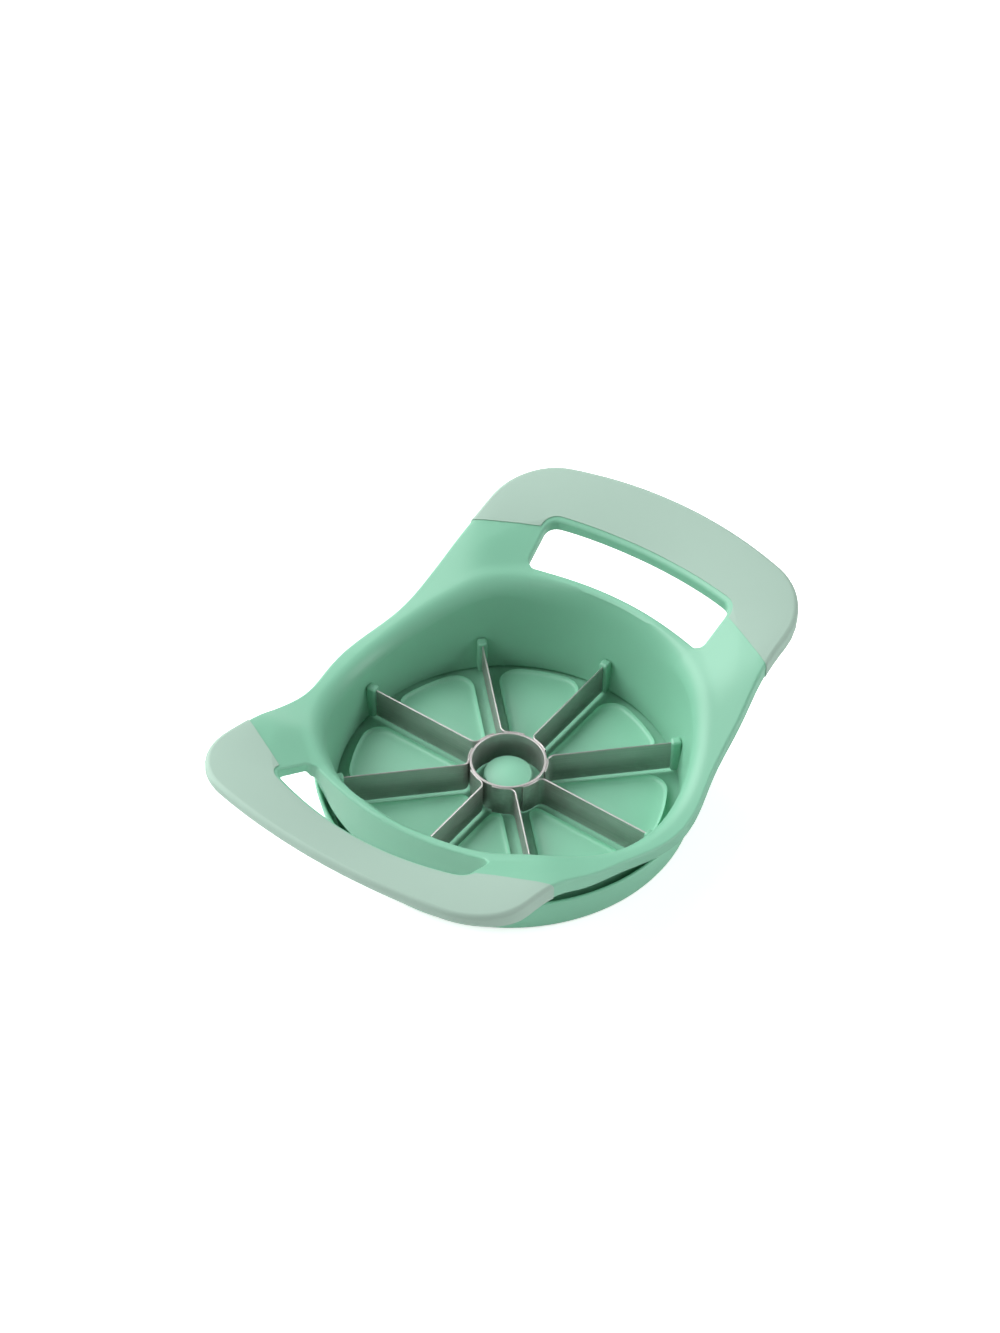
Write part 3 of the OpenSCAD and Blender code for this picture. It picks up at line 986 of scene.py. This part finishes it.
smooth(pad, degrees=40)
join(tray, [plug, *eight_round(pad, "pad")])
print("tray with pads:", len(tray.data.polygons), "faces")

# %% [markdown]
# ## The core ring
# A thin steel band with eased edges, whose lower edge is ground sharp. A bent strip would show where
# its ends meet, so the band is spun from its section.

# %% Turn the core ring
BLADE_Z, BLADE_TOP, EDGE_H = 2.3, 13.7, 1.2
RING_R, RING_T, RING_EASE, RING_GRIND = 12.0, 0.8, 0.15, 0.35
inner = RING_R - RING_T
ring_section = [
    (inner, BLADE_Z + EDGE_H), (inner, BLADE_TOP - RING_EASE), (inner + RING_EASE, BLADE_TOP),
    (RING_R - RING_EASE, BLADE_TOP), (RING_R, BLADE_TOP - RING_EASE), (RING_R, BLADE_Z + EDGE_H),
    (RING_R - RING_GRIND, BLADE_Z), (inner + RING_GRIND, BLADE_Z), (inner, BLADE_Z + EDGE_H)]
core = draw_profile("core_band", [(x, 0, z) for x, z in ring_section])
lathe(core, 128)
smooth(core, degrees=40)
print("core_band faces:", len(core.data.polygons))

# %% [markdown]
# ## The blades
# Each blade is a strip of sheet steel. Its section, with eased top edges and a ground lower edge, is
# extruded from the post to the core, spun round a tight bend, and spun on along the ring as a foot.
# A spin keeps the strip's section the same all along the bend.

# %% Model one blade and copy it
HALF_T, TOP_EASE, WELD_GAP = 0.25, 0.2, 0.05
BLADE_OUT_X, STRIP_XS, BEND_R, FOOT_TURN, BEND_STEPS = 53.2, (46, 38, 30, 22), 2.3, 24, 8
section = [
    (-HALF_T, BLADE_Z + EDGE_H), (0, BLADE_Z), (HALF_T, BLADE_Z + EDGE_H), (HALF_T, BLADE_TOP - TOP_EASE),
    (HALF_T - TOP_EASE, BLADE_TOP), (TOP_EASE - HALF_T, BLADE_TOP), (-HALF_T, BLADE_TOP - TOP_EASE)]
FOOT_R = RING_R + WELD_GAP + HALF_T
BEND_X = math.sqrt((FOOT_R + BEND_R) ** 2 - BEND_R**2)
LEAN = math.degrees(math.asin(BEND_R / (FOOT_R + BEND_R)))
blade = draw_profile("blade_strip_1", [(BLADE_OUT_X, y, z) for y, z in section], closed=True)
here = BLADE_OUT_X
for x in (*STRIP_XS, BEND_X):
    bpy.ops.mesh.extrude_region_move(TRANSFORM_OT_translate={"value": ((x - here) * MM, 0, 0)})
    here = x
bpy.ops.mesh.spin(steps=BEND_STEPS, angle=math.radians(LEAN - 90), center=(BEND_X * MM, -BEND_R * MM, 0),
                  axis=(0, 0, 1))
bpy.ops.mesh.spin(steps=BEND_STEPS, angle=math.radians(FOOT_TURN), center=(0, 0, 0), axis=(0, 0, 1))
face_outwards(blade)
smooth(blade, degrees=25)
blades = eight_round(blade, "blade_strip")
low, high = Vector(blade.bound_box[0]) / MM, Vector(blade.bound_box[6]) / MM
print("blade from", [round(v, 1) for v in low], "to", [round(v, 1) for v in high])

# %% [markdown]
# ## Riding and replacing
# Every piece moves with a body of the CAD model, and the CAD nodes it stands for are hidden.

# %% Tie the pieces to the CAD
def dress(piece, body, slot, *nodes):
    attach(piece, body)
    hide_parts(*nodes)


dress(shell, "slicer", "frame_plastic", "frame")
dress(grips[1], "slicer", "grip_rubber", "grip_back")
dress(grips[-1], "slicer", "grip_rubber", "grip_front")
dress(core, "slicer", "blade_steel", "core_ring")
dress(tray, "tray", "tray_plastic", "tray")
for i, strip in enumerate(blades):
    dress(strip, "slicer", "blade_steel", "blade_%d" % (i + 1))
print("pieces dressed:", 5 + len(blades))

# %% [markdown]
# ## Finishes
# Four finishes cover the tool: satin mint plastic, a touch lighter for the tray, a paler soft grip and
# brushed steel.

# %% Node helpers
def new_material(name):
    material = bpy.data.materials.new(name)
    material.use_nodes = True
    tree = material.node_tree
    return material, tree, tree.nodes["Principled BSDF"]


def add(tree, kind, **values):
    node = tree.nodes.new(kind)
    for key, value in values.items():
        if key in node.inputs:
            node.inputs[key].default_value = value
        else:
            setattr(node, key, value)
    return node


def cover(material, *pieces):
    for piece in pieces:
        piece.data.materials.clear()
        piece.data.materials.append(material)


def open_sockets(group, side, *sockets):
    """Gives a node group its named inputs or outputs."""
    for label, kind in sockets:
        group.interface.new_socket(label, in_out=side, socket_type="NodeSocket" + kind)


SURFACE = (("Colour", "Color"), ("Roughness", "Float"), ("Height", "Float"))


def lay_surface(tree, shader, group, strength, distance):
    """Places an effect's group in a material and lets its outputs drive the shader."""
    effect = tree.nodes.new("ShaderNodeGroup")
    effect.node_tree = group
    raised = add(tree, "ShaderNodeBump", Strength=strength, Distance=distance)
    tree.links.new(effect.outputs["Colour"], shader.inputs["Base Color"])
    tree.links.new(effect.outputs["Roughness"], shader.inputs["Roughness"])
    tree.links.new(effect.outputs["Height"], raised.inputs["Height"])
    tree.links.new(raised.outputs["Normal"], shader.inputs["Normal"])
    return effect


# %% [markdown]
# The plastic and the grip share one effect: a fine moulded grain with faint clouds of colour. It is a
# node group, so that each finish places it with its own scale and strength.

# %% Moulded grain group
def moulded_grain_group():
    group = bpy.data.node_groups.new("moulded_grain", "ShaderNodeTree")
    for label, low, high, value in (("Grain Scale", 0, 9000, 2200), ("Cloud Scale", 0, 200, 26),
                                    ("Rough Low", 0, 1, 0.35), ("Rough High", 0, 1, 0.45)):
        socket = group.interface.new_socket(label, in_out="INPUT", socket_type="NodeSocketFloat")
        socket.min_value, socket.max_value, socket.default_value = low, high, value
    open_sockets(group, "INPUT", ("Colour A", "Color"), ("Colour B", "Color"))
    open_sockets(group, "OUTPUT", *SURFACE)
    start, end = group.nodes.new("NodeGroupInput"), group.nodes.new("NodeGroupOutput")
    place = group.nodes.new("ShaderNodeTexCoord")
    cloud = add(group, "ShaderNodeTexNoise", Detail=3.0, Roughness=0.5)
    grain = add(group, "ShaderNodeTexNoise", Detail=2.0, Roughness=0.6)
    colour = add(group, "ShaderNodeMix", data_type="RGBA")
    rough = add(group, "ShaderNodeMapRange")
    link = group.links.new
    for noise, label in ((cloud, "Cloud Scale"), (grain, "Grain Scale")):
        link(place.outputs["Object"], noise.inputs["Vector"])
        link(start.outputs[label], noise.inputs["Scale"])
    link(cloud.outputs["Fac"], colour.inputs["Factor"])
    link(start.outputs["Colour A"], colour.inputs["A"])
    link(start.outputs["Colour B"], colour.inputs["B"])
    link(cloud.outputs["Fac"], rough.inputs["Value"])
    link(start.outputs["Rough Low"], rough.inputs["To Min"])
    link(start.outputs["Rough High"], rough.inputs["To Max"])
    link(colour.outputs["Result"], end.inputs["Colour"])
    link(rough.outputs["Result"], end.inputs["Roughness"])
    link(grain.outputs["Fac"], end.inputs["Height"])
    return group


grain_group = moulded_grain_group()
GRAIN_DEPTH = 0.05 * MM
SATIN, MATT = (0.38, 0.46), (0.62, 0.74)


def moulded(name, light, dark, rough, grain_scale, bump):
    material, tree, shader = new_material(name)
    effect = lay_surface(tree, shader, grain_group, bump, GRAIN_DEPTH)
    effect.inputs["Colour A"].default_value = (*dark, 1)
    effect.inputs["Colour B"].default_value = (*light, 1)
    effect.inputs["Rough Low"].default_value, effect.inputs["Rough High"].default_value = rough
    effect.inputs["Grain Scale"].default_value = grain_scale
    return material


plastic = moulded("mint_plastic", (0.226, 0.53, 0.37), (0.213, 0.512, 0.355), SATIN, 2600, 0.1)
cover(plastic, shell)
lighter = moulded("tray_mint_plastic", (0.275, 0.635, 0.447), (0.262, 0.61, 0.43), SATIN, 2600, 0.1)
cover(lighter, tray)
soft = moulded("soft_mint_grip", (0.362, 0.51, 0.43), (0.345, 0.49, 0.412), MATT, 3600, 0.25)
cover(soft, *grips.values())
print("moulded finishes:", plastic.name, lighter.name, soft.name)

# %% [markdown]
# The blades are rolled strip with fine lines along their length. Noise is stretched along each blade,
# so a blade's material turns its pattern with its angle. The ring's lines run round it.

# %% Brushed steel
LINE_SCALES, SMUDGE_SCALE, SMUDGE_SHARE = (30, 900, 2400), 90.0, 0.35
RAMP = ((0.3, (0.52, 0.49, 0.485, 1)), (0.7, (0.67, 0.63, 0.625, 1)))
STEEL_ROUGH = (0.44, 0.58)
LINE_BUMP, LINE_DEPTH, ROUND_THE_RING = 0.15, 0.03 * MM, (0.0004, 0.0004, 1)


def brushed_group():
    group = bpy.data.node_groups.new("brushed_lines", "ShaderNodeTree")
    open_sockets(group, "INPUT", ("Vector", "Vector"))
    open_sockets(group, "OUTPUT", *SURFACE)
    start, end = group.nodes.new("NodeGroupInput"), group.nodes.new("NodeGroupOutput")
    stretch = add(group, "ShaderNodeMapping")
    stretch.inputs["Scale"].default_value = LINE_SCALES
    lines = add(group, "ShaderNodeTexNoise", Scale=1.0, Detail=4.0, Roughness=0.6)
    smudge = add(group, "ShaderNodeTexNoise", Scale=SMUDGE_SCALE, Detail=3.0, Roughness=0.5)
    blend = add(group, "ShaderNodeMix", data_type="FLOAT")
    blend.inputs["Factor"].default_value = SMUDGE_SHARE
    colour = add(group, "ShaderNodeValToRGB")
    for element, (position, shade) in zip(colour.color_ramp.elements, RAMP):
        element.position, element.color = position, shade
    rough = add(group, "ShaderNodeMapRange")
    rough.inputs["To Min"].default_value, rough.inputs["To Max"].default_value = STEEL_ROUGH
    link = group.links.new
    link(start.outputs["Vector"], stretch.inputs["Vector"])
    link(stretch.outputs["Vector"], lines.inputs["Vector"])
    link(start.outputs["Vector"], smudge.inputs["Vector"])
    link(lines.outputs["Fac"], blend.inputs["A"])
    link(smudge.outputs["Fac"], blend.inputs["B"])
    link(blend.outputs["Result"], colour.inputs["Fac"])
    link(blend.outputs["Result"], rough.inputs["Value"])
    link(colour.outputs["Color"], end.inputs["Colour"])
    link(rough.outputs["Result"], end.inputs["Roughness"])
    link(lines.outputs["Fac"], end.inputs["Height"])
    return group


lines_group = brushed_group()


def steel(name, degrees=None):
    """Steel whose lines run along a blade at this angle, or round the ring with none."""
    material, tree, shader = new_material(name)
    place = tree.nodes.new("ShaderNodeTexCoord")
    if degrees is None:
        turn = add(tree, "ShaderNodeVectorMath", operation="MULTIPLY")
        turn.inputs[1].default_value = ROUND_THE_RING
    else:
        turn = add(tree, "ShaderNodeMapping")
        turn.inputs["Rotation"].default_value = (0, 0, math.radians(-degrees))
    effect = lay_surface(tree, shader, lines_group, LINE_BUMP, LINE_DEPTH)
    tree.links.new(place.outputs["Object"], turn.inputs[0])
    tree.links.new(turn.outputs["Vector"], effect.inputs["Vector"])
    shader.inputs["Metallic"].default_value = 1.0
    return material


cover(steel("ring_steel"), core)
for i, strip in enumerate(blades):
    cover(steel("blade_steel_%d" % (i + 1), PITCH * i), strip)
print("materials:", len(bpy.data.materials))

# %% [markdown]
# ## Floor, light and camera
# The tool stands on a plain white floor under soft studio light. To the camera the floor and the room
# are lifted to plain white, so that only the soft shadow stays. The floor lies a tenth of a millimetre
# below the tray, because two faces in one place would show as noise from below.

# %% Floor
FLOOR_SIZE, FLOOR_Z, FLOOR_LIFT = 2.6, -0.1 * MM, 0.6
clear_selection()
bpy.ops.mesh.primitive_plane_add(size=FLOOR_SIZE, location=(0, 0, FLOOR_Z))
floor = name_piece("floor")
white, tree, shader = new_material("white_floor")
shader.inputs["Base Color"].default_value = (0.9, 0.9, 0.9, 1)
shader.inputs["Roughness"].default_value = 0.9
seen = add(tree, "ShaderNodeLightPath")
lift = add(tree, "ShaderNodeMath", operation="MULTIPLY")
lift.inputs[1].default_value = FLOOR_LIFT
shader.inputs["Emission Color"].default_value = (1, 1, 1, 1)
tree.links.new(seen.outputs["Is Camera Ray"], lift.inputs[0])
tree.links.new(lift.outputs["Value"], shader.inputs["Emission Strength"])
cover(white, floor)
floor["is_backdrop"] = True

# %% [markdown]
# One large lamp hangs on the tool's left, with a small one beside it towards the front handle. Weaker
# ones fill in from the front, the near side, the right and the back. The room itself is dim, because
# more light from all round would wash out the shading inside the cup.

# %% Light
ROOM_STRENGTH, LAMP_DISTANCE, LAMP_AIM = 0.13, 1.2, Vector((0, 0, 0.02))
world = bpy.data.worlds.new("studio")
bpy.context.scene.world = world
world.use_nodes = True
tree = world.node_tree
room = tree.nodes["Background"]
room.inputs["Color"].default_value = (1, 1, 1, 1)
room.inputs["Strength"].default_value = ROOM_STRENGTH
seen = add(tree, "ShaderNodeBackground")
seen.inputs["Color"].default_value = (1, 1, 1, 1)
rays = add(tree, "ShaderNodeLightPath")
choose = add(tree, "ShaderNodeMixShader")
tree.links.new(rays.outputs["Is Camera Ray"], choose.inputs["Fac"])
tree.links.new(room.outputs["Background"], choose.inputs[1])
tree.links.new(seen.outputs["Background"], choose.inputs[2])
tree.links.new(choose.outputs["Shader"], tree.nodes["World Output"].inputs["Surface"])


def hang_lamp(name, azimuth, elevation, size, power):
    """Hangs a square lamp at one angle round the tool and another above the floor."""
    a, e = math.radians(azimuth), math.radians(elevation)
    data = bpy.data.lights.new(name, "AREA")
    data.energy, data.size = power, size
    light = bpy.data.objects.new(name, data)
    light.location = (*polar(LAMP_DISTANCE * math.cos(e), a), LAMP_DISTANCE * math.sin(e))
    light.rotation_euler = (LAMP_AIM - light.location).to_track_quat("-Z", "Y").to_euler()
    bpy.context.collection.objects.link(light)


hang_lamp("key", 90, 40, 1.2, 19)
hang_lamp("left", 135, 38, 0.9, 4.5)
hang_lamp("front fill", 180, 22, 0.8, 2.6)
hang_lamp("right fill", 305, 24, 0.8, 7.5)
hang_lamp("near fill", 250, 12, 0.6, 0.7)
hang_lamp("back fill", 45, 22, 0.6, 1.4)
print("lamps:", len(bpy.data.lights))

# %% [markdown]
# The camera's place comes from fitting the photograph's outline and blades. Its lens takes in the
# whole frame of the photograph, which is 1333 pixels high.

# %% Camera
FOCAL, AZIMUTH, ELEVATION, ROLL, DISTANCE = 3024.88, -54.76, 44.05, 1.04, 935.08
SHIFT_X, SHIFT_Y, LOOK_Z = -2.58, 28.85, 13.6
SENSOR, PHOTO_H = 36, 1333
az, el, roll = (math.radians(a) for a in (AZIMUTH, ELEVATION, ROLL))
back = Vector((math.sin(az) * math.cos(el), -math.cos(az) * math.cos(el), math.sin(el)))
right = Vector((math.cos(az), math.sin(az), 0))
up = back.cross(right)
right, up = right * math.cos(roll) + up * math.sin(roll), up * math.cos(roll) - right * math.sin(roll)
place = (back * DISTANCE + right * SHIFT_X + up * SHIFT_Y + Vector((0, 0, LOOK_Z))) * MM
lens = bpy.data.cameras.new("camera")
lens.sensor_width, lens.lens = SENSOR, SENSOR * FOCAL / PHOTO_H
lens.clip_start, lens.clip_end = 0.01, 20
camera = bpy.data.objects.new("camera", lens)
rows = [(right[i], up[i], back[i], place[i]) for i in range(3)]
camera.matrix_world = Matrix((*rows, (0, 0, 0, 1)))
bpy.context.collection.objects.link(camera)
bpy.context.scene.camera = camera
bpy.context.scene.view_settings.view_transform = "Standard"
print("camera at", [round(v, 3) for v in place])

# %% [markdown]
# Last, the boxes of the CAD model and of this one are gathered, and this one's box is printed.

# %% Gather the sizes and print this model's box
bpy.context.view_layer.update()
sizes = {"cad": [list(map(float, corner)) for corner in cad_bounds],
         "visual": [list(map(float, corner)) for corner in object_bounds()]}
print("visual box:", [[round(v, 4) for v in corner] for corner in sizes["visual"]])
